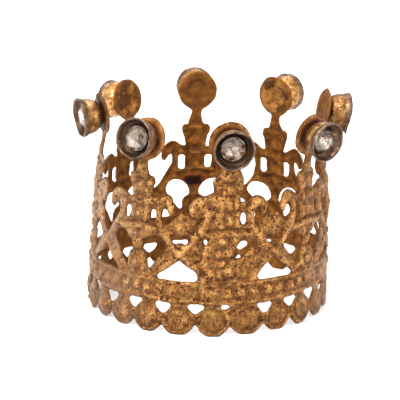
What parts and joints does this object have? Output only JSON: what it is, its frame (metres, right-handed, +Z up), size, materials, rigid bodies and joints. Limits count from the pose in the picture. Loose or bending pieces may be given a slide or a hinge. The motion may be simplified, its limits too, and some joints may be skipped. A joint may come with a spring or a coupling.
{
  "type": "rhinestone crown",
  "caption": "Small openwork gilt brass crown for a figure, with a foil-backed clear stone in a metal cup on every point.",
  "frame": {"origin": "middle of the crown's outline, on the surface that its foot stands on", "axes": "+Z up out of the crown, -Y through the front point, +X to its right as seen from the front"},
  "size_m": [0.0577, 0.0561, 0.0442],
  "materials": {
    "gilt_brass": "aged gilding, pitted and rubbed",
    "tinned_brass": "dull tinned rim over worn gilding",
    "cut_glass": "cut and foil-backed"
  },
  "bodies": {
    "root": {"crown_band": "gilt_brass", "stone_cup_1": "tinned_brass", "stone_cup_2": "tinned_brass", "stone_cup_3": "tinned_brass", "stone_cup_4": "tinned_brass", "stone_cup_5": "tinned_brass", "stone_cup_6": "tinned_brass", "stone_cup_7": "tinned_brass", "stone_cup_8": "tinned_brass", "rhinestone_1": "cut_glass", "rhinestone_2": "cut_glass", "rhinestone_3": "cut_glass", "rhinestone_4": "cut_glass", "rhinestone_5": "cut_glass", "rhinestone_6": "cut_glass", "rhinestone_7": "cut_glass", "rhinestone_8": "cut_glass"}
  },
  "joints": []
}
